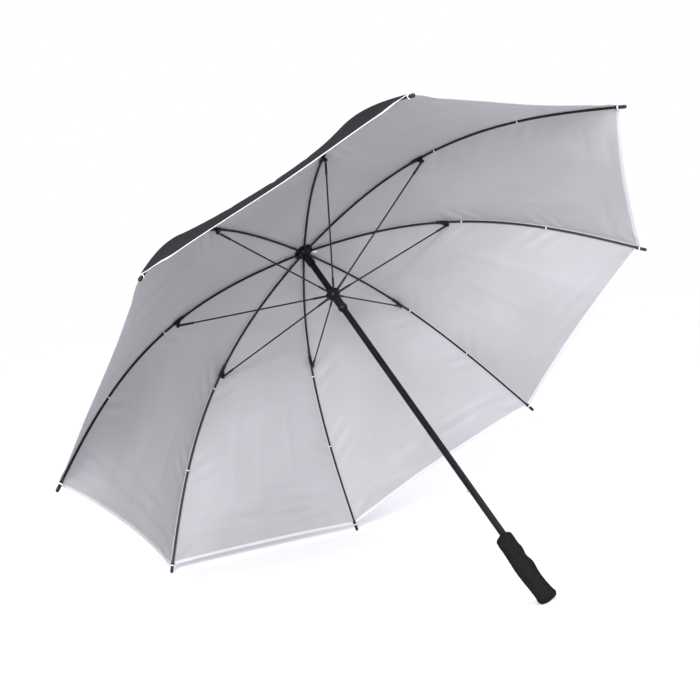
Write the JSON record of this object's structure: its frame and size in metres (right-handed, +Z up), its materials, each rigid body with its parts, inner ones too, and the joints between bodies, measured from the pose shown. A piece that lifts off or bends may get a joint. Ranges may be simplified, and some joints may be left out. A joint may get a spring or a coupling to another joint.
{
  "type": "stick umbrella",
  "caption": "Open stick umbrella of golf size with silver lining and foam handle, lying on its rim and handle; folds on its runner.",
  "frame": {"origin": "on the floor under the middle of the umbrella's bounding box, as it lies open on two rib tips and the end of its handle", "axes": "+Z up, +X across the canopy, the shaft lies in the plane X = 0 with its handle towards -Y and down, the ferrule towards +Y and up"},
  "size_m": [1.231, 0.8895, 0.8669],
  "materials": {
    "shaft": "gloss",
    "moulding": "satin",
    "wire": "satin",
    "catch": "satin",
    "ferrule": "satin",
    "foam": "matte",
    "rib": "satin",
    "bracket": "satin",
    "stretcher": "satin",
    "canopy": "satin"
  },
  "bodies": {
    "root": {"shaft": "shaft", "notch": "moulding", "notch_wire": "wire", "ferrule": "ferrule", "rosette": "moulding", "handle_grip": "foam"},
    "runner_body": {"runner": "moulding", "runner_wire": "wire"},
    "top_catch_body": {"top_catch": "catch"},
    "bottom_catch_body": {"bottom_catch": "catch"},
    "rib_0": {"rib_inner_0": "rib", "rib_joint_0": "bracket", "canopy_inner_0": "canopy"},
    "rib_end_0": {"rib_outer_0": "rib", "canopy_outer_0": "canopy"},
    "stretcher_body_0": {"stretcher_0": "stretcher"},
    "rib_1": {"rib_inner_1": "rib", "rib_joint_1": "bracket", "canopy_inner_1": "canopy"},
    "rib_end_1": {"rib_outer_1": "rib", "canopy_outer_1": "canopy"},
    "stretcher_body_1": {"stretcher_1": "stretcher"},
    "rib_2": {"rib_inner_2": "rib", "rib_joint_2": "bracket", "canopy_inner_2": "canopy"},
    "rib_end_2": {"rib_outer_2": "rib", "canopy_outer_2": "canopy"},
    "stretcher_body_2": {"stretcher_2": "stretcher"},
    "rib_3": {"rib_inner_3": "rib", "rib_joint_3": "bracket", "canopy_inner_3": "canopy"},
    "rib_end_3": {"rib_outer_3": "rib", "canopy_outer_3": "canopy"},
    "stretcher_body_3": {"stretcher_3": "stretcher"},
    "rib_4": {"rib_inner_4": "rib", "rib_joint_4": "bracket", "canopy_inner_4": "canopy"},
    "rib_end_4": {"rib_outer_4": "rib", "canopy_outer_4": "canopy"},
    "stretcher_body_4": {"stretcher_4": "stretcher"},
    "rib_5": {"rib_inner_5": "rib", "rib_joint_5": "bracket", "canopy_inner_5": "canopy"},
    "rib_end_5": {"rib_outer_5": "rib", "canopy_outer_5": "canopy"},
    "stretcher_body_5": {"stretcher_5": "stretcher"},
    "rib_6": {"rib_inner_6": "rib", "rib_joint_6": "bracket", "canopy_inner_6": "canopy"},
    "rib_end_6": {"rib_outer_6": "rib", "canopy_outer_6": "canopy"},
    "stretcher_body_6": {"stretcher_6": "stretcher"},
    "rib_7": {"rib_inner_7": "rib", "rib_joint_7": "bracket", "canopy_inner_7": "canopy"},
    "rib_end_7": {"rib_outer_7": "rib", "canopy_outer_7": "canopy"},
    "stretcher_body_7": {"stretcher_7": "stretcher"}
  },
  "joints": [
    {"name": "canopy_fold", "type": "hinge", "parent": "root", "child": "rib_1", "pos_m": [0.00459, 0.22396, 0.64648], "axis": [-0.9239, 0.2747, -0.2664], "range_deg": [0, 76.8], "deforming": ["canopy_inner_0", "canopy_inner_1", "canopy_inner_2", "canopy_inner_3", "canopy_inner_4", "canopy_inner_5", "canopy_inner_6", "canopy_inner_7", "canopy_outer_0", "canopy_outer_1", "canopy_outer_2", "canopy_outer_3", "canopy_outer_4", "canopy_outer_5", "canopy_outer_6", "canopy_outer_7", "top_catch", "bottom_catch"]},
    {"name": "rib_fold_0", "type": "hinge", "parent": "root", "child": "rib_0", "pos_m": [0.01109, 0.2193, 0.651], "axis": [-0.3827, 0.6632, -0.6432], "range_deg": [0, 76.8]},
    {"name": "rib_fold_2", "type": "hinge", "parent": "root", "child": "rib_2", "pos_m": [-0.00459, 0.22396, 0.64648], "axis": [-0.9239, -0.2747, 0.2664], "range_deg": [0, 76.8]},
    {"name": "rib_fold_3", "type": "hinge", "parent": "root", "child": "rib_3", "pos_m": [-0.01109, 0.2193, 0.651], "axis": [-0.3827, -0.6632, 0.6432], "range_deg": [0, 76.8]},
    {"name": "rib_fold_4", "type": "hinge", "parent": "root", "child": "rib_4", "pos_m": [-0.01109, 0.2127, 0.6574], "axis": [0.3827, -0.6632, 0.6432], "range_deg": [0, 76.8]},
    {"name": "rib_fold_5", "type": "hinge", "parent": "root", "child": "rib_5", "pos_m": [-0.00459, 0.20804, 0.66192], "axis": [0.9239, -0.2747, 0.2664], "range_deg": [0, 76.8]},
    {"name": "rib_fold_6", "type": "hinge", "parent": "root", "child": "rib_6", "pos_m": [0.00459, 0.20804, 0.66192], "axis": [0.9239, 0.2747, -0.2664], "range_deg": [0, 76.8]},
    {"name": "rib_fold_7", "type": "hinge", "parent": "root", "child": "rib_7", "pos_m": [0.01109, 0.2127, 0.6574], "axis": [0.3827, 0.6632, -0.6432], "range_deg": [0, 76.8]},
    {"name": "rib_flex_0", "type": "hinge", "parent": "rib_0", "child": "rib_end_0", "pos_m": [0.295, 0.26501, 0.52922], "axis": [-0.3827, 0.6632, -0.6432], "range_deg": [-25.4, 0]},
    {"name": "stretcher_turn_0", "type": "hinge", "parent": "rib_0", "child": "stretcher_body_0", "pos_m": [0.29225, 0.25903, 0.52468], "axis": [-0.3827, 0.6632, -0.6432], "range_deg": [-153.7, 0]},
    {"name": "rib_flex_1", "type": "hinge", "parent": "rib_1", "child": "rib_end_1", "pos_m": [0.12219, 0.38906, 0.40892], "axis": [-0.9239, 0.2747, -0.2664], "range_deg": [-25.4, 0]},
    {"name": "stretcher_turn_1", "type": "hinge", "parent": "rib_1", "child": "stretcher_body_1", "pos_m": [0.12105, 0.38192, 0.4055], "axis": [-0.9239, 0.2747, -0.2664], "range_deg": [-153.7, 0]},
    {"name": "rib_flex_2", "type": "hinge", "parent": "rib_2", "child": "rib_end_2", "pos_m": [-0.12219, 0.38906, 0.40892], "axis": [-0.9239, -0.2747, 0.2664], "range_deg": [-25.4, 0]},
    {"name": "stretcher_turn_2", "type": "hinge", "parent": "rib_2", "child": "stretcher_body_2", "pos_m": [-0.12105, 0.38192, 0.4055], "axis": [-0.9239, -0.2747, 0.2664], "range_deg": [-153.7, 0]},
    {"name": "rib_flex_3", "type": "hinge", "parent": "rib_3", "child": "rib_end_3", "pos_m": [-0.295, 0.26501, 0.52922], "axis": [-0.3827, -0.6632, 0.6432], "range_deg": [-25.4, 0]},
    {"name": "stretcher_turn_3", "type": "hinge", "parent": "rib_3", "child": "stretcher_body_3", "pos_m": [-0.29225, 0.25903, 0.52468], "axis": [-0.3827, -0.6632, 0.6432], "range_deg": [-153.7, 0]},
    {"name": "rib_flex_4", "type": "hinge", "parent": "rib_4", "child": "rib_end_4", "pos_m": [-0.295, 0.08958, 0.69935], "axis": [0.3827, -0.6632, 0.6432], "range_deg": [-25.4, 0]},
    {"name": "stretcher_turn_4", "type": "hinge", "parent": "rib_4", "child": "stretcher_body_4", "pos_m": [-0.29225, 0.08522, 0.69323], "axis": [0.3827, -0.6632, 0.6432], "range_deg": [-153.7, 0]},
    {"name": "rib_flex_5", "type": "hinge", "parent": "rib_5", "child": "rib_end_5", "pos_m": [-0.12219, -0.03448, 0.81965], "axis": [0.9239, -0.2747, 0.2664], "range_deg": [-25.4, 0]},
    {"name": "stretcher_turn_5", "type": "hinge", "parent": "rib_5", "child": "stretcher_body_5", "pos_m": [-0.12105, -0.03768, 0.81241], "axis": [0.9239, -0.2747, 0.2664], "range_deg": [-153.7, 0]},
    {"name": "rib_flex_6", "type": "hinge", "parent": "rib_6", "child": "rib_end_6", "pos_m": [0.12219, -0.03448, 0.81965], "axis": [0.9239, 0.2747, -0.2664], "range_deg": [-25.4, 0]},
    {"name": "stretcher_turn_6", "type": "hinge", "parent": "rib_6", "child": "stretcher_body_6", "pos_m": [0.12105, -0.03768, 0.81241], "axis": [0.9239, 0.2747, -0.2664], "range_deg": [-153.7, 0]},
    {"name": "rib_flex_7", "type": "hinge", "parent": "rib_7", "child": "rib_end_7", "pos_m": [0.295, 0.08958, 0.69935], "axis": [0.3827, 0.6632, -0.6432], "range_deg": [-25.4, 0]},
    {"name": "stretcher_turn_7", "type": "hinge", "parent": "rib_7", "child": "stretcher_body_7", "pos_m": [0.29225, 0.08522, 0.69323], "axis": [0.3827, 0.6632, -0.6432], "range_deg": [-153.7, 0]},
    {"name": "runner_turn", "type": "hinge", "parent": "stretcher_body_1", "child": "runner_body", "pos_m": [0.00459, 0.1362, 0.55599], "axis": [-0.9239, 0.2747, -0.2664], "range_deg": [0, 76.9]},
    {"name": "top_catch_press", "type": "hinge", "parent": "root", "child": "top_catch_body", "pos_m": [-0.00262, 0.09431, 0.52495], "axis": [-0.7071, -0.5076, 0.4923], "range_deg": [-7.5, 0], "stiffness_Nm_per_rad": 1.5},
    {"name": "bottom_catch_press", "type": "hinge", "parent": "root", "child": "bottom_catch_body", "pos_m": [-0.00262, -0.25029, 0.1696], "axis": [-0.7071, -0.5076, 0.4923], "range_deg": [-7.5, 0], "stiffness_Nm_per_rad": 1.5}
  ],
  "couplings": [
    {"joint": "rib_fold_0", "follows": "canopy_fold", "ratio": 1},
    {"joint": "rib_fold_2", "follows": "canopy_fold", "ratio": 1},
    {"joint": "rib_fold_3", "follows": "canopy_fold", "ratio": 1},
    {"joint": "rib_fold_4", "follows": "canopy_fold", "ratio": 1},
    {"joint": "rib_fold_5", "follows": "canopy_fold", "ratio": 1},
    {"joint": "rib_fold_6", "follows": "canopy_fold", "ratio": 1},
    {"joint": "rib_fold_7", "follows": "canopy_fold", "ratio": 1},
    {"joint": "rib_flex_0", "follows": "canopy_fold", "ratio": -0.33},
    {"joint": "stretcher_turn_0", "follows": "canopy_fold", "ratio": -2},
    {"joint": "rib_flex_1", "follows": "canopy_fold", "ratio": -0.33},
    {"joint": "stretcher_turn_1", "follows": "canopy_fold", "ratio": -2},
    {"joint": "rib_flex_2", "follows": "canopy_fold", "ratio": -0.33},
    {"joint": "stretcher_turn_2", "follows": "canopy_fold", "ratio": -2},
    {"joint": "rib_flex_3", "follows": "canopy_fold", "ratio": -0.33},
    {"joint": "stretcher_turn_3", "follows": "canopy_fold", "ratio": -2},
    {"joint": "rib_flex_4", "follows": "canopy_fold", "ratio": -0.33},
    {"joint": "stretcher_turn_4", "follows": "canopy_fold", "ratio": -2},
    {"joint": "rib_flex_5", "follows": "canopy_fold", "ratio": -0.33},
    {"joint": "stretcher_turn_5", "follows": "canopy_fold", "ratio": -2},
    {"joint": "rib_flex_6", "follows": "canopy_fold", "ratio": -0.33},
    {"joint": "stretcher_turn_6", "follows": "canopy_fold", "ratio": -2},
    {"joint": "rib_flex_7", "follows": "canopy_fold", "ratio": -0.33},
    {"joint": "stretcher_turn_7", "follows": "canopy_fold", "ratio": -2},
    {"joint": "runner_turn", "follows": "canopy_fold", "ratio": 1}
  ]
}
